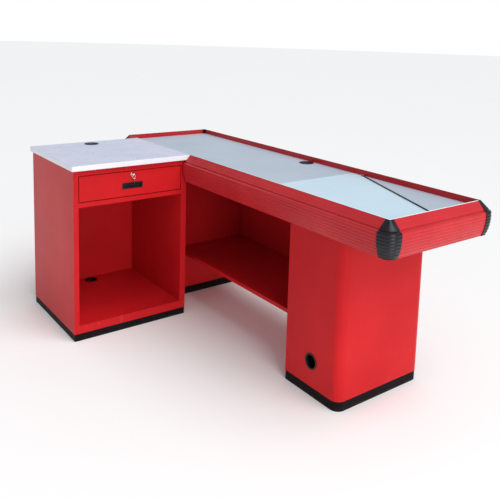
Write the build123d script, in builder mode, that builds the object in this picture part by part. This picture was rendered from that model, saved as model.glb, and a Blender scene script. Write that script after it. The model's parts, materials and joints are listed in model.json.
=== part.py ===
"""Checkout counter: cashier cabinet with a locking drawer, docked to a long counter on two pedestals.

Frame: millimetres, +Z up, +X along the counter towards the packing end, -Y on the cashier's side.
The origin is at the centre of the bounding box's footprint, on the floor.
"""
from build123d import *
import os

os.makedirs("parts", exist_ok=True)

# ---- driving dimensions -------------------------------------------------------------
overall_length = 2136
overall_depth = 1188
rim_z = 850
sheet = 1.5
skin = 2.5

# bumper rail round the counter
cap_proud = 3
cap_leg = 15
rail_reach = 45
rail_height = 136
rim_land = 4
inner_width = 520
bevel_reach = 33
bevel_drop = 31
groove_depth = 2
groove_height = 3.5
rib_count = 7
rib_pitch = 12.7
rib_height = 1.5
neck_reach = 28
rib_drop = 8
crest_drop = 60
barrel_drop = 74

# counter top
surface_z = 824
board_thickness = 18
seam_x = 321
seam_gap = 1
beam_height = 60
beam_width = 40
beam_wall = 2
beam_inset = 34
rear_beam_inset = 121
beam_end_inset = 20
member_width = 30
member_height = 40
bolt_inset = 60
bolt_radius = 4
bolt_head = 5

# pedestals
pedestal_width = 323
pedestal_depth = 490
pedestal_corner = 40
pedestal_plinth_height = 42
plinth_inset = 2
plinth_board = 18
right_pedestal_x = 471
left_pedestal_x = -876

# shelf between the pedestals
shelf_setback = 45
modesty_setback = 1
shelf_top_z = 285
shelf_fold = 18
bracket_leg = 30
bracket_width = 40

# cashier cabinet
cabinet_x = (-900, -336)
cabinet_width = 594
cabinet_plinth_height = 36
panel = 24
dock_panel = 31
floor_z = 75
bay_top_z = 648.5
drawer_z = (671, 798)
worktop_thickness = 25
worktop_x = (-910, -316)
worktop_width = 615
worktop_overhang = 13
return_depth = 15

# drawer
reveal = 3.5
drawer_front_thickness = 18
runner_gap = 13
runner_length = 450
runner_height = 44
runner_z = 730
drawer_box_z = (680, 768)
drawer_box_length = 504

# pull and lock
pull_size = (107, 30)
pull_opening = (96, 21)
pull_z = 726
pull_depth = 12
lock_z = 779
lock_bore_radius = 5.5
lock_radius = 8
cam_reach = 30
key_bow_radius = 8
key_hole_radius = 2.5
ring_radius = 8
wire_radius = 0.9

# cable passages
grommet_radius = 30
grommet_flange = 37
cable_ring_bore = 28

# swing bar over the packing plate
diverter_length = 662
pivot_offset = (76, 12)
pivot_screw_radius = 2.5
diverter_angle = -21.9
diverter_bore = 4.0
running_gap = 0.05

# ---- places worked out from the driving dimensions ------------------------------------
corner_x = overall_length / 2 - cap_proud - rail_reach
rear_y = overall_depth / 2 - cap_proud - rail_reach
front_y = rear_y - inner_width
cabinet_left_y = -overall_depth / 2 + worktop_overhang
cabinet_y = (cabinet_left_y, cabinet_left_y + cabinet_width)
bay_y = (cabinet_y[0] + panel, cabinet_y[1] - dock_panel)
middle_y = (bay_y[0] + bay_y[1]) / 2
worktop_y = (-overall_depth / 2, -overall_depth / 2 + worktop_width)
worktop_z = (rim_z - worktop_thickness, rim_z)
pedestal_y = ((front_y + rear_y - pedestal_depth) / 2, (front_y + rear_y + pedestal_depth) / 2)
right_x = (right_pedestal_x, right_pedestal_x + pedestal_width)
left_x = (left_pedestal_x, left_pedestal_x + pedestal_width)
board_z = (surface_z - board_thickness, surface_z - sheet)
beam_z = (board_z[0] - beam_height, board_z[0])
shelf_y = (pedestal_y[0] + shelf_setback, pedestal_y[1] - return_depth - modesty_setback)
shelf_z = (shelf_top_z - shelf_fold, shelf_top_z)
worktop_grommet = (worktop_x[0] + 75, middle_y)
counter_grommet = (28, rear_y - 42)
floor_hole = (cabinet_x[0] + 47, middle_y)
pedestal_hole = ((right_x[0] + right_x[1]) / 2, 151)
pivot = (seam_x + pivot_offset[0], rear_y - pivot_offset[1])
front_x = cabinet_x[1]
drawer_back_x = front_x - drawer_front_thickness
drawer_box_y = (bay_y[0] + runner_gap, bay_y[1] - runner_gap)


# ---- helpers -------------------------------------------------------------------------
def block(x, y, z, mode=Mode.ADD):
    """Adds or cuts a block between the pairs of limits x, y and z."""
    with Locations(((x[0] + x[1]) / 2, (y[0] + y[1]) / 2, (z[0] + z[1]) / 2)):
        Box(x[1] - x[0], y[1] - y[0], z[1] - z[0], mode=mode)


def upright(x, y, radius, z, mode=Mode.ADD):
    """Adds or cuts a cylinder that stands along Z."""
    with Locations((x, y, (z[0] + z[1]) / 2)):
        Cylinder(radius, z[1] - z[0], mode=mode)


def along_x(y, z, radius, x, mode=Mode.ADD):
    """Adds or cuts a cylinder that lies along X."""
    with Locations(((x[0] + x[1]) / 2, y, z)):
        Cylinder(radius, x[1] - x[0], rotation=(0, 90, 0), mode=mode)


def along_y(x, z, radius, y, mode=Mode.ADD):
    """Adds or cuts a cylinder that lies along Y."""
    with Locations((x, (y[0] + y[1]) / 2, z)):
        Cylinder(radius, y[1] - y[0], rotation=(90, 0, 0), mode=mode)


def save(piece, label):
    """Labels a finished piece and writes its STEP file."""
    piece.part.label = label
    export_step(piece.part, f"parts/{label}.step")


# ---- bumper rail section ---------------------------------------------------------------
def barrel(z):
    """How far the rail's rounded side stands out at height z, valleys between the ribs."""
    crest_z = rim_z - crest_drop
    swell = rail_reach - rib_height
    return swell - (swell - neck_reach) * ((crest_z - z) / barrel_drop) ** 2


def rail_section(plane, proud, hollow=True):
    """Section of the rail on a plane whose x is outwards from the rim's inner edge and y is height."""
    bevel = bevel_reach + proud
    groove = bevel - groove_depth
    step_z = rim_z - bevel_drop
    ribs_z = step_z - rib_drop
    foot_z = rim_z - rail_height
    with BuildSketch(plane) as section:
        with BuildLine():
            Polyline(
                (0, foot_z),
                (0, rim_z),
                (rim_land, rim_z),
                (bevel, step_z),
                (groove, step_z - 1),
                (groove, step_z - groove_height),
                (barrel(ribs_z) + proud, ribs_z),
            )
            for rib in range(rib_count):
                top = ribs_z - rib * rib_pitch
                low = top - rib_pitch
                mid = (top + low) / 2
                ThreePointArc(
                    (barrel(top) + proud, top),
                    (barrel(mid) + rib_height + proud, mid),
                    (barrel(low) + proud, low),
                )
            last = ribs_z - rib_count * rib_pitch
            Polyline((barrel(last) + proud, last), (neck_reach + proud, foot_z), (0, foot_z))
        make_face()
        if hollow:
            with BuildLine():
                Polyline(
                    (skin, foot_z + skin),
                    (skin, rim_z - skin),
                    (groove - 1, step_z - 2.2),
                    (groove - skin, step_z - groove_height - 1),
                    (barrel(step_z - 12) + proud - skin, step_z - 12),
                    (barrel(rim_z - 60) + proud - skin, rim_z - 60),
                    (barrel(rim_z - 90) + proud - skin, rim_z - 90),
                    (neck_reach + proud - skin, foot_z + skin),
                    close=True,
                )
            make_face(mode=Mode.SUBTRACT)
    return section.sketch


def rim_plane(x, y, outward):
    """Plane across the rail at a point of the rim's inner edge. Its normal runs clockwise round the top."""
    facing = Vector(*outward)
    return Plane(origin=(x, y, 0), x_dir=facing, z_dir=facing.cross(Vector(0, 0, 1)))


def rail_run(x, y, outward, length):
    """Adds a hollow rail that starts at (x, y) on the rim's inner edge."""
    extrude(rail_section(rim_plane(x, y, outward), 0), amount=length)


def rail_end_plate(x, y, outward):
    """Closes a rail's free end with a plate of the rail's outline."""
    extrude(rail_section(rim_plane(x, y, outward), 0, hollow=False), amount=skin)


def corner_cap(x, y, outward):
    """Adds a corner cap: a short leg, a quarter turn about the rim's corner and the other leg."""
    turned = tuple(Vector(*outward).rotate(Axis.Z, -90))
    before = rail_section(rim_plane(x, y, outward), cap_proud)
    extrude(before, amount=-cap_leg)
    revolve(before, axis=Axis((x, y, 0), (0, 0, -1)), revolution_arc=90)
    extrude(rail_section(rim_plane(x, y, turned), cap_proud), amount=cap_leg)


REAR = (0, 1, 0)
RIGHT = (1, 0, 0)
FRONT = (0, -1, 0)
LEFT = (-1, 0, 0)
straight_x = corner_x - cap_leg

with BuildPart() as rear_rail:
    rail_run(-straight_x, rear_y, REAR, 2 * straight_x)
save(rear_rail, "rear_rail")

with BuildPart() as right_rail:
    rail_run(corner_x, rear_y - cap_leg, RIGHT, rear_y - front_y - 2 * cap_leg)
save(right_rail, "right_rail")

with BuildPart() as left_rail:
    rail_run(-corner_x, front_y + cap_leg, LEFT, rear_y - front_y - 2 * cap_leg)
save(left_rail, "left_rail")

dock_gap = 1
with BuildPart() as front_rail:
    rail_run(straight_x, front_y, FRONT, straight_x - worktop_x[1] - dock_gap)
    rail_end_plate(worktop_x[1] + dock_gap + skin, front_y, FRONT)
    rail_run(worktop_x[0] - dock_gap, front_y, FRONT, straight_x + worktop_x[0] - dock_gap)
    rail_end_plate(worktop_x[0] - dock_gap, front_y, FRONT)
save(front_rail, "front_rail")

caps = {
    "rear_right_corner_cap": (corner_x, rear_y, REAR),
    "front_right_corner_cap": (corner_x, front_y, RIGHT),
    "front_left_corner_cap": (-corner_x, front_y, FRONT),
    "rear_left_corner_cap": (-corner_x, rear_y, LEFT),
}
for cap_label, (cap_x, cap_y, cap_outward) in caps.items():
    with BuildPart() as cap:
        corner_cap(cap_x, cap_y, cap_outward)
    save(cap, cap_label)

# ---- counter top -------------------------------------------------------------------------
with BuildPart() as tabletop_board:
    block((-corner_x, corner_x), (front_y, rear_y), board_z)
    upright(*counter_grommet, grommet_radius, board_z, Mode.SUBTRACT)
    upright(*pivot, pivot_screw_radius, board_z, Mode.SUBTRACT)
save(tabletop_board, "tabletop_board")

with BuildPart() as counter_sheet:
    block((-corner_x, seam_x - seam_gap), (front_y, rear_y), (board_z[1], surface_z))
    upright(*counter_grommet, grommet_radius, (board_z[1], surface_z), Mode.SUBTRACT)
save(counter_sheet, "counter_sheet")

with BuildPart() as packing_plate:
    with BuildSketch(Plane.XY.offset(board_z[1])):
        with BuildLine():
            Polyline(
                (seam_x, front_y),
                (corner_x, front_y),
                (corner_x, (front_y + rear_y) / 2),
                (pivot[0], rear_y),
                (seam_x, rear_y),
                close=True,
            )
        make_face()
        with Locations(pivot):
            Circle(pivot_screw_radius, mode=Mode.SUBTRACT)
    extrude(amount=sheet)
save(packing_plate, "packing_plate")

with BuildPart() as rear_corner_sheet:
    with BuildSketch(Plane.XY.offset(board_z[1])):
        with BuildLine():
            Polyline(
                (pivot[0] + 2 * seam_gap, rear_y),
                (corner_x, (front_y + rear_y) / 2 + seam_gap),
                (corner_x, rear_y),
                close=True,
            )
        make_face()
    extrude(amount=sheet)
save(rear_corner_sheet, "rear_corner_sheet")

# ---- frame under the counter top ------------------------------------------------------------
beam_fronts = (front_y + beam_inset, rear_y - rear_beam_inset)
beam_half = corner_x - beam_end_inset

with BuildPart() as counter_beams:
    for beam_y in beam_fronts:
        block((-beam_half, beam_half), (beam_y, beam_y + beam_width), beam_z)
        inner_y = (beam_y + beam_wall, beam_y + beam_width - beam_wall)
        inner_z = (beam_z[0] + beam_wall, beam_z[1] - beam_wall)
        block((-beam_half, beam_half), inner_y, inner_z, Mode.SUBTRACT)

bolt_columns = []
for low_x, high_x in (right_x, left_x):
    bolt_columns += [low_x + bolt_inset, high_x - bolt_inset]
bolt_rows = [(x, y + beam_width / 2) for x in bolt_columns for y in beam_fronts]
with counter_beams:
    for bolt_x, bolt_y in bolt_rows:
        upright(bolt_x, bolt_y, bolt_radius, (beam_z[0], beam_z[0] + beam_wall), Mode.SUBTRACT)
save(counter_beams, "counter_beams")


def cross_member(x, y):
    """Adds a hollow member across the beams, centred on x."""
    half = member_width / 2
    low_z = beam_z[1] - member_height
    block((x - half, x + half), y, (low_z, beam_z[1]))
    inner_half = half - beam_wall
    block((x - inner_half, x + inner_half), y, (low_z + beam_wall, beam_z[1] - beam_wall), Mode.SUBTRACT)


with BuildPart() as cross_members:
    member_y = (beam_fronts[0] + beam_width, beam_fronts[1])
    end_x = beam_half - member_width / 2
    for member_x in (-end_x, -end_x / 3, end_x / 3, end_x):
        cross_member(member_x, member_y)
save(cross_members, "cross_members")

with BuildPart() as pedestal_bolts:
    for bolt_x, bolt_y in bolt_rows:
        with BuildSketch(Plane((bolt_x, bolt_y, beam_z[0] - sheet - bolt_head))):
            RegularPolygon(2 * bolt_radius - 0.5, 6)
        extrude(amount=bolt_head)
        upright(bolt_x, bolt_y, bolt_radius, (beam_z[0] - sheet, beam_z[0] + 3 * bolt_radius))
save(pedestal_bolts, "pedestal_bolts")


# ---- pedestals ----------------------------------------------------------------------------
def plan_sketch(x, z, inset, round_right):
    """Plan of a pedestal at height z, drawn in by inset, with its outer corners rounded."""
    centre = ((x[0] + x[1]) / 2, (pedestal_y[0] + pedestal_y[1]) / 2)
    with BuildSketch(Plane.XY.offset(z)) as plan:
        with Locations(centre):
            Rectangle(x[1] - x[0] - 2 * inset, pedestal_depth - 2 * inset)
        side = plan.vertices().group_by(Axis.X)[-1 if round_right else 0]
        fillet(side, pedestal_corner - inset)
    return plan.sketch


def pedestal_shell(x, round_right):
    """Adds the wrapped sheet body, open on the side towards the shelf, and its base and top plates."""
    z = (pedestal_plinth_height, beam_z[0])
    extrude(plan_sketch(x, z[0], 0, round_right), amount=z[1] - z[0])
    extrude(plan_sketch(x, z[0], sheet, round_right), amount=z[1] - z[0], mode=Mode.SUBTRACT)
    open_x = (x[0], x[0] + sheet) if round_right else (x[1] - sheet, x[1])
    block(open_x, (pedestal_y[0] + sheet, pedestal_y[1] - sheet), z, Mode.SUBTRACT)
    for plate_z in (z[0], z[1] - sheet):
        extrude(plan_sketch(x, plate_z, sheet + running_gap, round_right), amount=sheet)


def pedestal_inner_panel(x, round_right):
    """Adds the flat panel that closes the pedestal towards the shelf."""
    panel_x = (x[0], x[0] + sheet) if round_right else (x[1] - sheet, x[1])
    inner_y = (pedestal_y[0] + sheet, pedestal_y[1] - sheet)
    block(panel_x, inner_y, (pedestal_plinth_height, beam_z[0]))


def pedestal_plinth(x, round_right):
    """Adds the plinth frame under a pedestal."""
    extrude(plan_sketch(x, 0, plinth_inset, round_right), amount=pedestal_plinth_height)
    inner = plan_sketch(x, 0, plinth_inset + plinth_board, round_right)
    extrude(inner, amount=pedestal_plinth_height, mode=Mode.SUBTRACT)


joint_x = (-800, -630)
joint_z = (55, 695)
joint_points = [(x, z) for x in joint_x for z in joint_z]

with BuildPart() as right_pedestal_shell:
    pedestal_shell(right_x, True)
    along_y(*pedestal_hole, grommet_radius, (pedestal_y[0], pedestal_y[0] + sheet), Mode.SUBTRACT)
    for bolt_x, bolt_y in bolt_rows[:4]:
        upright(bolt_x, bolt_y, bolt_radius, (beam_z[0] - sheet, beam_z[0]), Mode.SUBTRACT)
save(right_pedestal_shell, "right_pedestal_shell")

with BuildPart() as left_pedestal_shell:
    pedestal_shell(left_x, False)
    for bolt_x, bolt_y in bolt_rows[4:]:
        upright(bolt_x, bolt_y, bolt_radius, (beam_z[0] - sheet, beam_z[0]), Mode.SUBTRACT)
    for link_x, link_z in joint_points:
        along_y(link_x, link_z, bolt_radius, (pedestal_y[0], pedestal_y[0] + sheet), Mode.SUBTRACT)
save(left_pedestal_shell, "left_pedestal_shell")

for side_label, side_x, rounded in (("right", right_x, True), ("left", left_x, False)):
    with BuildPart() as inner_panel:
        pedestal_inner_panel(side_x, rounded)
    save(inner_panel, f"{side_label}_pedestal_inner_panel")
    with BuildPart() as plinth:
        pedestal_plinth(side_x, rounded)
    save(plinth, f"{side_label}_pedestal_plinth")


def ring_sketch(plane, outer_radius):
    """Ring round a cable hole on the given plane."""
    with BuildSketch(plane) as ring:
        Circle(outer_radius)
        Circle(cable_ring_bore, mode=Mode.SUBTRACT)
    return ring.sketch


def cable_ring(plane):
    """Adds a flanged ring that lines a round cable hole. The flange lies on the plane."""
    extrude(ring_sketch(plane, grommet_radius + 5), amount=2)
    extrude(ring_sketch(plane, grommet_radius), amount=-10)


with BuildPart() as pedestal_cable_ring:
    cable_ring(Plane(origin=(pedestal_hole[0], pedestal_y[0], pedestal_hole[1]), z_dir=(0, -1, 0)))
save(pedestal_cable_ring, "pedestal_cable_ring")

# ---- shelf and modesty panel between the pedestals ----------------------------------------------
span_x = (left_x[1], right_x[0])

with BuildPart() as shelf:
    block(span_x, shelf_y, shelf_z)
    block(
        span_x,
        (shelf_y[0] + sheet, shelf_y[1] - sheet),
        (shelf_z[0] - sheet, shelf_z[1] - sheet),
        Mode.SUBTRACT,
    )
    for lip_y in (shelf_y[0], shelf_y[1] - return_depth):
        block(span_x, (lip_y, lip_y + return_depth), (shelf_z[0], shelf_z[0] + sheet))
save(shelf, "shelf")

with BuildPart() as shelf_brackets:
    for bracket_y in (shelf_y[0] + bracket_width, shelf_y[1] - 2 * bracket_width):
        for wall_x, inwards in ((span_x[0], 1), (span_x[1], -1)):
            reach_x = sorted((wall_x, wall_x + inwards * bracket_leg))
            plate_x = sorted((wall_x, wall_x + inwards * 3))
            block(reach_x, (bracket_y, bracket_y + bracket_width), (shelf_z[0] - 3, shelf_z[0]))
            block(plate_x, (bracket_y, bracket_y + bracket_width), (shelf_z[0] - 25, shelf_z[0]))
save(shelf_brackets, "shelf_brackets")

with BuildPart() as modesty_panel:
    modesty_y = (shelf_y[1], shelf_y[1] + return_depth)
    block(span_x, (modesty_y[0], modesty_y[0] + sheet), (shelf_z[0], beam_z[0]))
    for flange_z in (shelf_z[0], beam_z[0] - sheet):
        block(span_x, modesty_y, (flange_z, flange_z + sheet))
save(modesty_panel, "modesty_panel")

# ---- cashier cabinet carcass -------------------------------------------------------------------
side_z = (cabinet_plinth_height, worktop_z[0])
screw_x = (-780, -590, -400)
screw_radius = 2


def side_panel(y, inner_skin_y):
    """Adds a double-skin side panel with its runner screw holes."""
    block(cabinet_x, y, side_z)
    hollow_x = (cabinet_x[0] + sheet, cabinet_x[1] - sheet)
    block(hollow_x, (y[0] + sheet, y[1] - sheet), side_z, Mode.SUBTRACT)
    for hole_x in screw_x:
        along_y(hole_x, runner_z, screw_radius, inner_skin_y, Mode.SUBTRACT)


with BuildPart() as cabinet_left_side:
    side_panel((cabinet_y[0], bay_y[0]), (bay_y[0] - sheet, bay_y[0]))
save(cabinet_left_side, "cabinet_left_side")

with BuildPart() as cabinet_right_side:
    side_panel((bay_y[1], cabinet_y[1]), (bay_y[1], bay_y[1] + sheet))
    for link_x, link_z in joint_points:
        along_y(link_x, link_z, bolt_radius, (bay_y[1], cabinet_y[1]), Mode.SUBTRACT)
save(cabinet_right_side, "cabinet_right_side")

with BuildPart() as cabinet_back_panel:
    block((cabinet_x[0], cabinet_x[0] + sheet), bay_y, side_z)
save(cabinet_back_panel, "cabinet_back_panel")

inside_x = (cabinet_x[0] + sheet, cabinet_x[1])

with BuildPart() as cabinet_floor:
    block(inside_x, bay_y, (floor_z - sheet, floor_z))
    block((front_x - sheet, front_x), bay_y, (cabinet_plinth_height, floor_z))
    upright(*floor_hole, grommet_radius, (floor_z - sheet, floor_z), Mode.SUBTRACT)
save(cabinet_floor, "cabinet_floor")

with BuildPart() as cabinet_floor_ring:
    cable_ring(Plane((*floor_hole, floor_z)))
save(cabinet_floor_ring, "cabinet_floor_ring")


def cross_rail(z, flange_depths):
    """Adds a folded rail across the front, with a flange at its foot and one at its head."""
    block((front_x - sheet, front_x), bay_y, z)
    block((front_x - flange_depths[0], front_x), bay_y, (z[0], z[0] + sheet))
    block((front_x - flange_depths[1], front_x), bay_y, (z[1] - sheet, z[1]))


top_flange = 30
fixing_y = (middle_y - 166, middle_y + 166)
fixing_points = [(x, y) for x in (front_x - 20, cabinet_x[0] + 14) for y in fixing_y]
flange_z = (worktop_z[0] - sheet, worktop_z[0])

with BuildPart() as cabinet_top_rail:
    cross_rail((drawer_z[1], worktop_z[0]), (return_depth, top_flange))
    for fixing_x, y in fixing_points[:2]:
        upright(fixing_x, y, screw_radius, flange_z, Mode.SUBTRACT)
save(cabinet_top_rail, "cabinet_top_rail")

with BuildPart() as cabinet_drawer_rail:
    cross_rail((bay_top_z, drawer_z[0]), (return_depth, return_depth))
save(cabinet_drawer_rail, "cabinet_drawer_rail")

with BuildPart() as cabinet_rear_rail:
    rear_rail_x = (cabinet_x[0] + sheet, cabinet_x[0] + 2 * sheet)
    block(rear_rail_x, bay_y, (drawer_z[1] - 8, worktop_z[0]))
    block((rear_rail_x[0], rear_rail_x[0] + 28), bay_y, flange_z)
    for fixing_x, y in fixing_points[2:]:
        upright(fixing_x, y, screw_radius, flange_z, Mode.SUBTRACT)
save(cabinet_rear_rail, "cabinet_rear_rail")

with BuildPart() as cabinet_dust_panel:
    block((inside_x[0], front_x - return_depth), bay_y, (bay_top_z, bay_top_z + sheet))
save(cabinet_dust_panel, "cabinet_dust_panel")

with BuildPart() as cabinet_plinth:
    plinth_x = (cabinet_x[0] + plinth_inset, cabinet_x[1] - plinth_inset)
    plinth_y = (cabinet_y[0] + plinth_inset, cabinet_y[1] - plinth_inset)
    plinth_z = (0, cabinet_plinth_height)
    block(plinth_x, plinth_y, plinth_z)
    block(
        (plinth_x[0] + plinth_board, plinth_x[1] - plinth_board),
        (plinth_y[0] + plinth_board, plinth_y[1] - plinth_board),
        plinth_z,
        Mode.SUBTRACT,
    )
save(cabinet_plinth, "cabinet_plinth")

# ---- worktop -------------------------------------------------------------------------------------
screw_depth = 15
with BuildPart() as cabinet_worktop:
    block(worktop_x, worktop_y, worktop_z)
    fillet(cabinet_worktop.edges().filter_by(Axis.Z), 8)
    fillet(cabinet_worktop.faces().sort_by(Axis.Z)[-1].edges(), 4)
    fillet(cabinet_worktop.faces().sort_by(Axis.Z)[0].edges(), 3)
    upright(*worktop_grommet, grommet_radius, worktop_z, Mode.SUBTRACT)
    for fixing_x, y in fixing_points:
        upright(fixing_x, y, screw_radius, (worktop_z[0], worktop_z[0] + screw_depth), Mode.SUBTRACT)
save(cabinet_worktop, "cabinet_worktop")

with BuildPart() as worktop_screws:
    for fixing_x, y in fixing_points:
        upright(fixing_x, y, screw_radius, (flange_z[0], worktop_z[0] + screw_depth))
        upright(fixing_x, y, 2 * screw_radius, (flange_z[0] - 2.5, flange_z[0]))
save(worktop_screws, "worktop_screws")

# ---- cable grommets --------------------------------------------------------------------------------
flange_rise = 2
cap_radius = grommet_radius - 2.3
slot_width = 16


def grommet_liner(x, y, top_z, depth):
    """Adds a flanged liner with an inner ledge that carries its cap."""
    upright(x, y, grommet_flange, (top_z, top_z + flange_rise))
    upright(x, y, grommet_radius, (top_z - depth, top_z))
    upright(x, y, grommet_radius - 4, (top_z - depth, top_z + flange_rise), Mode.SUBTRACT)
    upright(x, y, grommet_radius - 2, (top_z - 1, top_z + flange_rise), Mode.SUBTRACT)


def grommet_cap(x, y, top_z):
    """Adds the loose cap, with a slot for the cables on the side of the near edge."""
    cap_z = (top_z - 1, top_z + flange_rise)
    upright(x, y, cap_radius, cap_z)
    block((x - slot_width / 2, x + slot_width / 2), (y + 6, y + 2 * cap_radius), cap_z, Mode.SUBTRACT)


grommets = {
    "worktop": (*worktop_grommet, rim_z, 22),
    "counter": (*counter_grommet, surface_z, board_thickness),
}
for grommet_label, (grommet_x, grommet_y, grommet_z, grommet_depth) in grommets.items():
    with BuildPart() as liner:
        grommet_liner(grommet_x, grommet_y, grommet_z, grommet_depth)
    save(liner, f"{grommet_label}_grommet_liner")
    with BuildPart() as loose_cap:
        grommet_cap(grommet_x, grommet_y, grommet_z)
    save(loose_cap, f"{grommet_label}_grommet_cap")

# ---- bolts between cabinet and counter ------------------------------------------------------------
link_y = (cabinet_y[1], pedestal_y[0])
with BuildPart() as joining_spacers:
    for link_x, link_z in joint_points:
        along_y(link_x, link_z, 10, link_y)
        along_y(link_x, link_z, bolt_radius, link_y, Mode.SUBTRACT)
save(joining_spacers, "joining_spacers")

with BuildPart() as joining_bolts:
    for link_x, link_z in joint_points:
        along_y(link_x, link_z, bolt_radius, (bay_y[1], pedestal_y[0] + sheet))
        along_y(link_x, link_z, 6.5, (bay_y[1] - 5, bay_y[1]))
        along_y(link_x, link_z, 6.5, (pedestal_y[0] + sheet, pedestal_y[0] + 8))
save(joining_bolts, "joining_bolts")

# ---- drawer runners ---------------------------------------------------------------------------------
runner_x = (drawer_back_x - 6 - runner_length, drawer_back_x - 6)
member_wall = 1.2
slide_gap = 0.3


def channel(wall_y, inwards, depth, half_height, wall):
    """Adds a channel along X whose web starts at wall_y and whose flanges point inwards."""
    web_y = sorted((wall_y, wall_y + inwards * wall))
    flange_y = sorted((wall_y, wall_y + inwards * depth))
    block(runner_x, web_y, (runner_z - half_height, runner_z + half_height))
    for edge in (-1, 1):
        edge_z = sorted((runner_z + edge * half_height, runner_z + edge * (half_height - wall)))
        block(runner_x, flange_y, edge_z)


runner_sides = ((bay_y[0], 1), (bay_y[1], -1))
outer_half = runner_height / 2
middle_half = outer_half - sheet - slide_gap
drawer_half = middle_half - member_wall - slide_gap

with BuildPart() as runner_cabinet_members:
    for skin_y, inwards in runner_sides:
        channel(skin_y, inwards, 10, outer_half, sheet)
        for hole_x in screw_x:
            hole_y = sorted((skin_y, skin_y + inwards * sheet))
            along_y(hole_x, runner_z, screw_radius, hole_y, Mode.SUBTRACT)
save(runner_cabinet_members, "runner_cabinet_members")

with BuildPart() as runner_middle_members:
    for skin_y, inwards in runner_sides:
        channel(skin_y + inwards * 3.3, inwards, 6.5, middle_half, member_wall)
save(runner_middle_members, "runner_middle_members")

with BuildPart() as runner_drawer_members:
    for skin_y, inwards in runner_sides:
        channel(skin_y + inwards * runner_gap, -inwards, 7, drawer_half, member_wall)
save(runner_drawer_members, "runner_drawer_members")

with BuildPart() as runner_screws:
    for skin_y, inwards in runner_sides:
        for hole_x in screw_x:
            shank_y = sorted((skin_y - inwards * 8, skin_y + inwards * sheet))
            head_y = sorted((skin_y + inwards * sheet, skin_y + inwards * (sheet + 1.2)))
            along_y(hole_x, runner_z, screw_radius, shank_y)
            along_y(hole_x, runner_z, 2 * screw_radius, head_y)
save(runner_screws, "runner_screws")

# ---- drawer -----------------------------------------------------------------------------------------
front_panel_y = (bay_y[0] + reveal, bay_y[1] - reveal)
front_panel_z = (drawer_z[0] + reveal, drawer_z[1] - reveal)
cup_y = (middle_y - pull_opening[0] / 2, middle_y + pull_opening[0] / 2)
cup_z = (pull_z - pull_opening[1] / 2, pull_z + pull_opening[1] / 2)
cup_wall = 1.5

with BuildPart() as drawer_box:
    box_x = (drawer_back_x - drawer_box_length, drawer_back_x)
    block(box_x, drawer_box_y, drawer_box_z)
    block(
        (box_x[0] + sheet, box_x[1] - sheet),
        (drawer_box_y[0] + sheet, drawer_box_y[1] - sheet),
        (drawer_box_z[0] + sheet, drawer_box_z[1]),
        Mode.SUBTRACT,
    )
save(drawer_box, "drawer_box")

with BuildPart() as drawer_front:
    block((drawer_back_x, front_x), front_panel_y, front_panel_z)
    fillet(drawer_front.faces().sort_by(Axis.X)[-1].edges(), 1.2)
    block(
        (drawer_back_x, front_x - sheet),
        (front_panel_y[0] + sheet, front_panel_y[1] - sheet),
        (front_panel_z[0] + sheet, front_panel_z[1] - sheet),
        Mode.SUBTRACT,
    )
    block((front_x - sheet, front_x), cup_y, cup_z, Mode.SUBTRACT)
    along_x(middle_y, lock_z, lock_radius, (front_x - sheet, front_x), Mode.SUBTRACT)
save(drawer_front, "drawer_front")

with BuildPart() as drawer_pull:
    flange_x = (front_x, front_x + 1.5)
    half_width, half_height = pull_size[0] / 2, pull_size[1] / 2
    flange_z = (pull_z - half_height, pull_z + half_height)
    block(flange_x, (middle_y - half_width, middle_y + half_width), flange_z)
    fillet(drawer_pull.edges().filter_by(Axis.X), 3)
    block((front_x - pull_depth, front_x), cup_y, cup_z)
    block(
        (front_x - pull_depth + cup_wall, front_x + 1.5),
        (cup_y[0] + cup_wall, cup_y[1] - cup_wall),
        (cup_z[0] + cup_wall, cup_z[1] - cup_wall),
        Mode.SUBTRACT,
    )
save(drawer_pull, "drawer_pull")

# ---- cam lock and keys -------------------------------------------------------------------------------
lock_face_x = front_x + 2
lock_rear_x = front_x - 20
cam_x = (lock_rear_x - 4, lock_rear_x - 2)
core_radius = lock_bore_radius - running_gap
keyway = (2.4, 6.4)
blade = (2, 6)

with BuildPart() as lock_housing:
    along_x(middle_y, lock_z, 11, (front_x, lock_face_x))
    along_x(middle_y, lock_z, lock_radius, (lock_rear_x, front_x))
    along_x(middle_y, lock_z, lock_bore_radius, (lock_rear_x, lock_face_x), Mode.SUBTRACT)
save(lock_housing, "lock_housing")

with BuildPart() as lock_nut:
    with BuildSketch(Plane(origin=(front_x - sheet, middle_y, lock_z), z_dir=(-1, 0, 0))):
        RegularPolygon(12, 6)
        Circle(lock_radius, mode=Mode.SUBTRACT)
    extrude(amount=4)
save(lock_nut, "lock_nut")

with BuildPart() as lock_cylinder:
    along_x(middle_y, lock_z, core_radius, (cam_x[1], lock_face_x))
    key_y = (middle_y - keyway[0] / 2, middle_y + keyway[0] / 2)
    key_z = (lock_z - keyway[1] / 2, lock_z + keyway[1] / 2)
    block((front_x - 14, lock_face_x), key_y, key_z, Mode.SUBTRACT)
save(lock_cylinder, "lock_cylinder")

with BuildPart() as lock_cam:
    with BuildSketch(Plane(origin=(cam_x[0], middle_y, lock_z), x_dir=(0, 1, 0), z_dir=(1, 0, 0))):
        Circle(8)
        with Locations((cam_reach / 2, 0)):
            Rectangle(cam_reach, 12)
    extrude(amount=cam_x[1] - cam_x[0])
save(lock_cam, "lock_cam")


def key_outline(plane, blade_length):
    """Sketch of a key: a round bow about the origin with a ring hole, and a blade towards -x."""
    with BuildSketch(plane) as outline:
        Circle(key_bow_radius)
        with Locations((-(key_bow_radius + blade_length) / 2, 0)):
            Rectangle(key_bow_radius + blade_length, blade[1])
        with Locations((key_bow_radius - 4, 0)):
            Circle(key_hole_radius, mode=Mode.SUBTRACT)
    return outline.sketch


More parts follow.
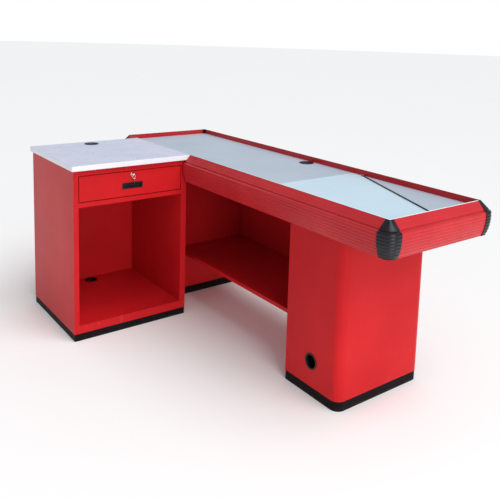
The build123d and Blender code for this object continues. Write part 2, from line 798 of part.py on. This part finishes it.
bow_x = lock_face_x + 4 + key_bow_radius
ring_hole_x = bow_x + key_bow_radius - 4
ring_z = lock_z - ring_radius
spare_hole_z = ring_z - ring_radius
blade_plane_y = middle_y + blade[0] / 2

with BuildPart() as inserted_key:
    key_plane = Plane(origin=(bow_x, blade_plane_y, lock_z), x_dir=(1, 0, 0), z_dir=(0, -1, 0))
    extrude(key_outline(key_plane, bow_x - front_x + 12 - key_bow_radius), amount=blade[0])
save(inserted_key, "inserted_key")

with BuildPart() as spare_key:
    spare_bow_z = spare_hole_z - key_bow_radius + 4
    spare_origin = (ring_hole_x, blade_plane_y, spare_bow_z)
    spare_plane = Plane(origin=spare_origin, x_dir=(0, 0, 1), z_dir=(0, -1, 0))
    extrude(key_outline(spare_plane, 18), amount=blade[0])
save(spare_key, "spare_key")

with BuildPart() as key_ring:
    with BuildSketch(Plane(origin=(ring_hole_x, middle_y, lock_z), x_dir=(1, 0, 0), z_dir=(0, 1, 0))):
        Circle(wire_radius)
    revolve(axis=Axis((ring_hole_x, middle_y, ring_z), (1, 0, 0)), revolution_arc=360)
save(key_ring, "key_ring")

# ---- swing bar --------------------------------------------------------------------------------------
eye_radius = 7.5
bar_z = (surface_z + 1, surface_z + 5)
bar_width = 3.6
pin_flange = 0.8

with BuildPart() as diverter_pin:
    upright(*pivot, pivot_screw_radius, (board_z[0], surface_z))
    upright(*pivot, eye_radius, (surface_z, surface_z + pin_flange))
    upright(*pivot, diverter_bore - running_gap, (surface_z + pin_flange, bar_z[1] + 1))
    upright(*pivot, 6.5, (bar_z[1] + 0.5, bar_z[1] + 2.5))
save(diverter_pin, "diverter_pin")

with BuildPart() as diverter_bar:
    with BuildSketch(Plane((*pivot, bar_z[0])).rotated((0, 0, diverter_angle))):
        Circle(eye_radius)
        with Locations((diverter_length / 2, 0)):
            RectangleRounded(diverter_length, bar_width, bar_width / 2 - 0.01)
        Circle(diverter_bore, mode=Mode.SUBTRACT)
    extrude(amount=bar_z[1] - bar_z[0])
save(diverter_bar, "diverter_bar")
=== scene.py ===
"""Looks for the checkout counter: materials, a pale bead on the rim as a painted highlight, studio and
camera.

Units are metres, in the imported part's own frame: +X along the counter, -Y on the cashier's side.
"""
import json
import math

import bmesh
import bpy
from mathutils import Matrix, Vector


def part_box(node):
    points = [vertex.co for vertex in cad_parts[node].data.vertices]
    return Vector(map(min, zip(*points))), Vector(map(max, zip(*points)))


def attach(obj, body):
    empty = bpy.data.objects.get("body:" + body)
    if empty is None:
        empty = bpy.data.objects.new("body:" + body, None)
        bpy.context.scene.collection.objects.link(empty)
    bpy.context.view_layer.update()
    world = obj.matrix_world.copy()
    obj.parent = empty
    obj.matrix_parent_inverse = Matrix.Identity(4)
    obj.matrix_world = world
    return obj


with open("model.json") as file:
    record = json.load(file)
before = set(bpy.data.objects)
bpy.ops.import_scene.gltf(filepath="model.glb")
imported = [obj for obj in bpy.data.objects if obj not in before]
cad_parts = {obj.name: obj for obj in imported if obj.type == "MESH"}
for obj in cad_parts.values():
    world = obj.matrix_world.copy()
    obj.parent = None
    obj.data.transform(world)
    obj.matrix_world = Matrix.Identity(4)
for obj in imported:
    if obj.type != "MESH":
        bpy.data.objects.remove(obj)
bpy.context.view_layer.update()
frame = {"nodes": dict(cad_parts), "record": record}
nodes = frame["nodes"]

# ---- camera: place, aim and framing of the photograph ----------------------------------
CAMERA_PLACE = (2.480, -1.650, 1.477)
CAMERA_YAW = 2.4885
CAMERA_PITCH = -0.1405
CAMERA_ROLL = 0.0319
CAMERA_LENS = 46.74
CAMERA_SHIFT = (-0.029, -0.2516)


def make_camera():
    """Adds the camera at the photograph's viewing angle."""
    forward = Vector((
        math.cos(CAMERA_YAW) * math.cos(CAMERA_PITCH),
        math.sin(CAMERA_YAW) * math.cos(CAMERA_PITCH),
        math.sin(CAMERA_PITCH),
    ))
    level = Vector((math.sin(CAMERA_YAW), -math.cos(CAMERA_YAW), 0))
    upright = level.cross(forward)
    right = math.cos(CAMERA_ROLL) * level + math.sin(CAMERA_ROLL) * upright
    up = math.cos(CAMERA_ROLL) * upright - math.sin(CAMERA_ROLL) * level
    turn = Matrix((right, up, -forward)).transposed()
    data = bpy.data.cameras.new("camera")
    data.sensor_width = 36
    data.lens = CAMERA_LENS
    data.shift_x, data.shift_y = CAMERA_SHIFT
    camera = bpy.data.objects.new("camera", data)
    camera.matrix_world = Matrix.Translation(CAMERA_PLACE) @ turn.to_4x4()
    bpy.context.scene.collection.objects.link(camera)
    bpy.context.scene.camera = camera


# ---- material helpers -------------------------------------------------------------------
class Shader:
    """A node material whose textures are laid out in the part's own frame."""

    def __init__(self, name):
        self.material = bpy.data.materials.new(name)
        self.material.use_nodes = True
        self.tree = self.material.node_tree
        self.principled = self.tree.nodes["Principled BSDF"]
        coordinates = self.tree.nodes.new("ShaderNodeTexCoord")
        self.place = coordinates.outputs["Object"]
        self.facing = coordinates.outputs["Normal"]

    def node(self, kind, **inputs):
        """Adds a node and sets or links its inputs by name."""
        made = self.tree.nodes.new(kind)
        for label, value in inputs.items():
            self.feed(made.inputs[label], value)
        return made

    def feed(self, socket, value):
        """Links an output to the socket, or sets the socket to a value."""
        if isinstance(value, bpy.types.NodeSocket):
            self.tree.links.new(value, socket)
        else:
            socket.default_value = value

    def noise(self, scale, stretch=(1, 1, 1), detail=3.0, roughness=0.55):
        """Noise from 0 to 1. A small stretch draws it out along that axis."""
        mapping = self.node("ShaderNodeMapping", Vector=self.place, Scale=stretch)
        made = self.node("ShaderNodeTexNoise", Vector=mapping.outputs[0], Scale=scale, Detail=detail)
        made.inputs["Roughness"].default_value = roughness
        return made.outputs["Fac"]

    def spots(self, scale):
        """Distance to the nearest of many scattered points."""
        return self.node("ShaderNodeTexVoronoi", Vector=self.place, Scale=scale).outputs["Distance"]

    def spread(self, value, low, high, to_low=0.0, to_high=1.0):
        """Maps low..high to to_low..to_high and holds the ends."""
        made = self.node("ShaderNodeMapRange", Value=value)
        made.inputs["From Min"].default_value = low
        made.inputs["From Max"].default_value = high
        made.inputs["To Min"].default_value = to_low
        made.inputs["To Max"].default_value = to_high
        return made.outputs[0]

    def math(self, operation, first, second):
        """A math node's result for two inputs."""
        made = self.tree.nodes.new("ShaderNodeMath")
        made.operation = operation
        self.feed(made.inputs[0], first)
        self.feed(made.inputs[1], second)
        return made.outputs[0]

    def mix(self, factor, first, second):
        """Mixes two colours by a factor."""
        made = self.tree.nodes.new("ShaderNodeMix")
        made.data_type = "RGBA"
        self.feed(made.inputs[0], factor)
        self.feed(made.inputs[6], first)
        self.feed(made.inputs[7], second)
        return made.outputs[2]

    def height(self):
        """Height above the floor, in metres."""
        split = self.node("ShaderNodeSeparateXYZ", Vector=self.place)
        return split.outputs["Z"]

    def bump(self, height, strength, distance, below=None):
        """A bumped normal, on top of another one if given."""
        made = self.node("ShaderNodeBump", Height=height, Strength=strength, Distance=distance)
        if below is not None:
            self.feed(made.inputs["Normal"], below)
        return made.outputs["Normal"]

    def set(self, **values):
        """Sets or links the surface shader's sockets by name, with _ for each space."""
        for label, value in values.items():
            self.feed(self.principled.inputs[label.replace("_", " ")], value)


def rgb(red, green, blue):
    """Linear colour with alpha."""
    return (red, green, blue, 1.0)


PAINT_ROUGHNESS = 0.30
SCUFF_HEIGHT = (0.22, 0.04)
SCUFF_COLOUR = rgb(0.30, 0.08, 0.07)
SPECK_COLOUR = rgb(0.85, 0.13, 0.11)


def paint(name, deep, bright):
    """Powder coat: cloudy colour, orange peel, fine dust marks and scuffs low down."""
    s = Shader(name)
    cloud = s.spread(s.noise(2.6, detail=4.0), 0.32, 0.68)
    colour = s.mix(cloud, deep, bright)
    speck = s.spread(s.noise(900.0, detail=1.0), 0.55, 0.8, 0.0, 0.10)
    colour = s.mix(speck, colour, SPECK_COLOUR)
    low = s.spread(s.height(), *SCUFF_HEIGHT)
    scuff = s.spread(s.noise(30.0, (1, 1, 0.25), detail=6.0), 0.62, 0.74)
    low_scuff = s.math("MULTIPLY", low, scuff)
    colour = s.mix(s.math("MULTIPLY", low_scuff, 0.35), colour, SCUFF_COLOUR)
    rough = s.spread(s.noise(7.0, detail=5.0), 0.3, 0.7, PAINT_ROUGHNESS - 0.02, PAINT_ROUGHNESS + 0.04)
    rough = s.math("ADD", rough, s.math("MULTIPLY", low_scuff, 0.2))
    orange_peel = s.bump(s.noise(330.0, detail=2.0), 0.05, 0.0006)
    dents = s.bump(s.noise(3.2, detail=1.0), 0.03, 0.002, orange_peel)
    s.set(Base_Color=colour, Roughness=rough, Normal=dents, Specular_IOR_Level=0.10)
    return s.material


def extrusion(name, deep, bright, along):
    """Glossy extruded rail: colour cloud and faint draw lines along its length."""
    s = Shader(name)
    stretch = (0.6, 60, 60) if along == "X" else (60, 0.6, 60)
    lines = s.noise(9.0, stretch, detail=4.0)
    cloud = s.spread(s.noise(3.0, detail=3.0), 0.35, 0.65)
    colour = s.mix(cloud, deep, bright)
    colour = s.mix(s.spread(lines, 0.5, 0.75, 0.0, 0.08), colour, rgb(0.80, 0.10, 0.10))
    rough = s.spread(lines, 0.3, 0.7, 0.20, 0.32)
    fine = s.bump(lines, 0.04, 0.0006)
    grain = s.bump(s.noise(420.0, detail=2.0), 0.05, 0.0005, fine)
    s.set(Base_Color=colour, Roughness=rough, Normal=grain, Specular_IOR_Level=0.20)
    return s.material


def moulding(name, dark, light, roughness):
    """Black moulded plastic with a fine spark-eroded grain and slight handling shine."""
    s = Shader(name)
    worn = s.spread(s.noise(22.0, detail=5.0), 0.45, 0.72)
    colour = s.mix(worn, dark, light)
    rough = s.spread(s.noise(14.0, detail=4.0), 0.3, 0.7, roughness - 0.08, roughness + 0.10)
    s.set(Base_Color=colour, Roughness=rough, Specular_IOR_Level=0.30)
    s.set(Normal=s.bump(s.noise(1400.0, detail=2.0), 0.25, 0.0003))
    return s.material


def skirting(name):
    """Black laminated skirting: faint horizontal streaks, floor dust towards the foot."""
    s = Shader(name)
    streak = s.noise(16.0, (0.5, 0.5, 14), detail=4.0)
    colour = s.mix(s.spread(streak, 0.4, 0.7), rgb(0.007, 0.005, 0.006), rgb(0.016, 0.011, 0.013))
    near_floor = s.spread(s.height(), 0.014, 0.0)
    dust = s.math("MULTIPLY", near_floor, s.spread(s.noise(60.0, detail=5.0), 0.4, 0.7))
    colour = s.mix(s.math("MULTIPLY", dust, 0.18), colour, rgb(0.16, 0.14, 0.13))
    rough = s.spread(streak, 0.3, 0.7, 0.36, 0.5)
    s.set(Base_Color=colour, Roughness=rough, Specular_IOR_Level=0.04)
    s.set(Normal=s.bump(s.noise(260.0, detail=3.0), 0.1, 0.0004))
    return s.material


def laminate(name):
    """Pale laminate with a soft cloud and small flecks, and a lighter band round its edge."""
    s = Shader(name)
    cloud = s.spread(s.noise(11.0, detail=6.0, roughness=0.65), 0.35, 0.65)
    colour = s.mix(cloud, rgb(0.60, 0.64, 0.79), rgb(0.66, 0.70, 0.85))
    fleck = s.spread(s.noise(420.0, detail=2.0), 0.62, 0.72, 0.0, 0.16)
    colour = s.mix(fleck, colour, rgb(0.42, 0.45, 0.56))
    light = s.spread(s.spots(260.0), 0.10, 0.04, 0.0, 0.2)
    colour = s.mix(light, colour, rgb(0.86, 0.87, 0.92))
    upward = s.node("ShaderNodeSeparateXYZ", Vector=s.facing).outputs["Z"]
    edge_band = s.spread(upward, 0.75, 0.45, 0.0, 0.85)
    colour = s.mix(edge_band, colour, rgb(0.80, 0.80, 0.86))
    rough = s.spread(s.noise(24.0, detail=5.0), 0.3, 0.7, 0.26, 0.38)
    s.set(Base_Color=colour, Roughness=rough, Normal=s.bump(s.noise(700.0, detail=2.0), 0.05, 0.0003))
    return s.material


HAIRLINE_STRETCH = (0.25, 34, 34)
SCRATCH_STRETCH = (0.7, 22, 1)
HAIRLINE_SHADE = 0.86


def brushed(name, dark, light, metallic, roughness):
    """Brushed sheet: long hairlines, soft cloud, a few scratches from goods."""
    s = Shader(name)
    hair = s.noise(26.0, HAIRLINE_STRETCH, detail=6.0, roughness=0.7)
    cloud = s.spread(s.noise(3.4, detail=4.0), 0.3, 0.7)
    colour = s.mix(cloud, dark, light)
    shade = rgb(*[HAIRLINE_SHADE * channel for channel in dark[:3]])
    colour = s.mix(s.spread(hair, 0.35, 0.75, 0.0, 0.35), colour, shade)
    marks = s.noise(5.0, SCRATCH_STRETCH, detail=8.0, roughness=0.8)
    scratch = s.spread(marks, 0.70, 0.74, 0.0, 0.35)
    colour = s.mix(scratch, colour, rgb(0.85, 0.89, 0.93))
    rough = s.spread(hair, 0.3, 0.7, roughness - 0.05, roughness + 0.07)
    s.set(Base_Color=colour, Metallic=metallic, Roughness=rough, Normal=s.bump(hair, 0.06, 0.0004))
    return s.material


def metal(name, dark, light, roughness, scale=60.0):
    """Bare or plated metal with soft cloud and fine marks."""
    s = Shader(name)
    cloud = s.spread(s.noise(scale, detail=5.0), 0.35, 0.65)
    rough = s.spread(s.noise(scale * 3, detail=4.0), 0.3, 0.7, roughness - 0.04, roughness + 0.08)
    s.set(Base_Color=s.mix(cloud, dark, light), Metallic=1.0, Roughness=rough)
    s.set(Normal=s.bump(s.noise(scale * 12, detail=2.0), 0.08, 0.0002))
    return s.material


def raw_board(name):
    """Unfaced particle board: chips of two browns."""
    s = Shader(name)
    chips = s.spread(s.noise(260.0, (1, 1, 2), detail=3.0), 0.35, 0.65)
    colour = s.mix(chips, rgb(0.30, 0.19, 0.10), rgb(0.56, 0.42, 0.26))
    s.set(Base_Color=colour, Roughness=0.85, Normal=s.bump(chips, 0.4, 0.0006))
    return s.material


# ---- materials of the record's slots ------------------------------------------------------
RED_DEEP = rgb(0.480, 0.008, 0.012)
RED_BRIGHT = rgb(0.570, 0.014, 0.018)
RAIL_DEEP = rgb(0.43, 0.016, 0.022)
RAIL_BRIGHT = rgb(0.51, 0.026, 0.032)

looks = {
    "red_paint": paint("red_powder_coat", RED_DEEP, RED_BRIGHT),
    "red_rail_x": extrusion("red_rail_along_x", RAIL_DEEP, RAIL_BRIGHT, "X"),
    "red_rail_y": extrusion("red_rail_along_y", RAIL_DEEP, RAIL_BRIGHT, "Y"),
    "black_plinth": skirting("black_skirting"),
    "black_cap": moulding("black_cap_moulding", rgb(0.006, 0.006, 0.009), rgb(0.017, 0.017, 0.022), 0.30),
    "black_plastic": moulding("black_plastic", rgb(0.006, 0.006, 0.008), rgb(0.020, 0.020, 0.024), 0.42),
    "worktop_laminate": laminate("pale_laminate"),
    "board": raw_board("particle_board"),
    "grey_sheet": brushed("grey_sheet", rgb(0.455, 0.54, 0.65), rgb(0.515, 0.605, 0.71), 0.0, 0.36),
    "packing_steel": brushed("packing_steel", rgb(0.61, 0.79, 0.92), rgb(0.67, 0.85, 0.96), 0.05, 0.34),
    "frame_steel": metal("frame_steel", rgb(0.16, 0.16, 0.17), rgb(0.26, 0.26, 0.27), 0.45),
    "fastener_steel": metal("zinc_plate", rgb(0.46, 0.46, 0.48), rgb(0.62, 0.62, 0.62), 0.32, 240.0),
    "lock_chrome": metal("nickel_chrome", rgb(0.62, 0.60, 0.56), rgb(0.78, 0.77, 0.74), 0.14, 300.0),
    "black_bar": moulding("black_bar_sleeve", rgb(0.012, 0.016, 0.018), rgb(0.030, 0.036, 0.040), 0.40),
}
SLOT_OF = {part["node"]: part["material_slot"] for part in frame["record"]["subparts"]}
ALONG_Y = ("left_rail", "right_rail")
SMOOTH_ANGLE = math.radians(32)
SOFT_EDGE = 0.0009
SOFT_EDGE_ANGLE = math.radians(50)
SOFT_SLOTS = ("red_paint", "black_plinth")


def look_of(node):
    """The material for a CAD node."""
    slot = SLOT_OF[node]
    if slot == "red_rail":
        slot += "_y" if node in ALONG_Y else "_x"
    return looks[slot]


def soften(target, width):
    """Rounds an object's sharp edges with a small bevel."""
    bevel = target.modifiers.new("soft_edges", "BEVEL")
    bevel.width = width
    bevel.segments = 2
    bevel.limit_method = "ANGLE"
    bevel.angle_limit = SOFT_EDGE_ANGLE
    bevel.harden_normals = True


def dress_cad_nodes():
    """Gives every CAD node its material and smooth curved faces, and softens the edges of the painted and
    skirting parts.
    """
    for name, node in nodes.items():
        node.data.materials.clear()
        node.data.materials.append(look_of(name))
        node.data.shade_smooth()
        node.data.set_sharp_from_angle(angle=SMOOTH_ANGLE)
        if SLOT_OF[name] in SOFT_SLOTS:
            soften(node, SOFT_EDGE)


# ---- studio ---------------------------------------------------------------------------------
FLOOR_RADIUS = 60
WORLD_LIGHT = 0.46


def make_floor():
    """Adds the pale studio floor."""
    s = Shader("studio_floor")
    s.set(Base_Color=s.mix(s.noise(0.6), rgb(0.955, 0.955, 0.955), rgb(0.975, 0.975, 0.975)), Roughness=0.6)
    mesh = bpy.data.meshes.new("floor")
    shape = bmesh.new()
    bmesh.ops.create_circle(shape, cap_ends=True, radius=FLOOR_RADIUS, segments=96)
    shape.to_mesh(mesh)
    shape.free()
    mesh.materials.append(s.material)
    floor = bpy.data.objects.new("floor", mesh)
    bpy.context.scene.collection.objects.link(floor)


def softbox(name, place, target, size, power, colour):
    """Adds a square area light that faces the target."""
    data = bpy.data.lights.new(name, "AREA")
    data.size = size
    data.energy = power
    data.color = colour
    light = bpy.data.objects.new(name, data)
    light.location = place
    light.rotation_euler = (Vector(target) - Vector(place)).to_track_quat("-Z", "Y").to_euler()
    bpy.context.scene.collection.objects.link(light)


def make_world():
    """White surroundings for the camera, dimmer as a light so that the lamps model the shape."""
    world = bpy.data.worlds.new("studio")
    world.use_nodes = True
    tree = world.node_tree
    seen = tree.nodes["Background"]
    seen.inputs[0].default_value = rgb(1, 1, 1)
    seen.inputs[1].default_value = 1.0
    lit = tree.nodes.new("ShaderNodeBackground")
    lit.inputs[0].default_value = rgb(0.96, 0.98, 1.0)
    lit.inputs[1].default_value = WORLD_LIGHT
    path = tree.nodes.new("ShaderNodeLightPath")
    mix = tree.nodes.new("ShaderNodeMixShader")
    tree.links.new(path.outputs["Is Camera Ray"], mix.inputs[0])
    tree.links.new(lit.outputs[0], mix.inputs[1])
    tree.links.new(seen.outputs[0], mix.inputs[2])
    tree.links.new(mix.outputs[0], tree.nodes["World Output"].inputs[0])
    bpy.context.scene.world = world


KEY_PLACE = (4.8, -0.9, 1.25)
KEY_TARGET = (0.0, -0.1, 0.4)
KEY_SIZE = 2.2
KEY_POWER = 75
KEY_COLOUR = (1.0, 0.985, 0.97)
SUN_HEIGHT = math.radians(57)
SUN_SIDE = math.radians(14)
SUN_STRENGTH = 2.05
SUN_SPREAD = math.radians(50)


def diffused_sun():
    """Adds the wide main light from above the packing end."""
    data = bpy.data.lights.new("diffused_sun", "SUN")
    data.energy = SUN_STRENGTH
    data.angle = SUN_SPREAD
    sun = bpy.data.objects.new("diffused_sun", data)
    level = math.cos(SUN_HEIGHT)
    toward = Vector((level * math.cos(SUN_SIDE), level * math.sin(SUN_SIDE), math.sin(SUN_HEIGHT)))
    sun.rotation_euler = toward.to_track_quat("Z", "Y").to_euler()
    bpy.context.scene.collection.objects.link(sun)


def light_studio():
    """A wide diffused main light from above the packing end, and a soft box low on that side."""
    make_world()
    softbox("key", KEY_PLACE, KEY_TARGET, KEY_SIZE, KEY_POWER, KEY_COLOUR)
    diffused_sun()


# ---- painted highlight: the pale bead on the rim's inner edge ---------------------------------
RIM_HIGHLIGHT_BEAD = 0.0018
HIGHLIGHT_BEAD_GAP = 0.002


def add_highlight_bead(name, points, slot):
    """Adds a fine round pale bead along points, half sunk in the rim, as a painted highlight."""
    curve = bpy.data.curves.new(name, "CURVE")
    curve.dimensions = "3D"
    curve.bevel_depth = RIM_HIGHLIGHT_BEAD
    curve.bevel_resolution = 3
    curve.use_fill_caps = True
    run = curve.splines.new("POLY")
    run.points.add(len(points) - 1)
    for spot, place in zip(run.points, points):
        spot.co = (*place, 1)
    highlight_bead = bpy.data.objects.new(name, curve)
    bpy.context.scene.collection.objects.link(highlight_bead)
    curve.materials.append(looks[slot])
    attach(highlight_bead, "root")


def paint_rim_highlight():
    """Adds a pale bead on the rim's inner edge, along the front and the packing end, standing in for the
    highlight there: a painted highlight.
    """
    front_low, front_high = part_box("front_rail")
    right_low, right_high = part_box("right_rail")
    inner_y = front_high[1] - RIM_HIGHLIGHT_BEAD
    inner_x = right_low[0] + RIM_HIGHLIGHT_BEAD
    top = front_high[2]
    start_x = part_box("cabinet_worktop")[1][0] + HIGHLIGHT_BEAD_GAP
    corners = [(start_x, inner_y, top), (inner_x, inner_y, top), (inner_x, right_high[1], top)]
    # Painted highlight: a pale bead where the rim's inner edge catches the light.
    add_highlight_bead("rim_bead", corners, "packing_steel")


dress_cad_nodes()
paint_rim_highlight()
make_floor()
light_studio()
make_camera()
bpy.context.scene.view_settings.view_transform = "Standard"
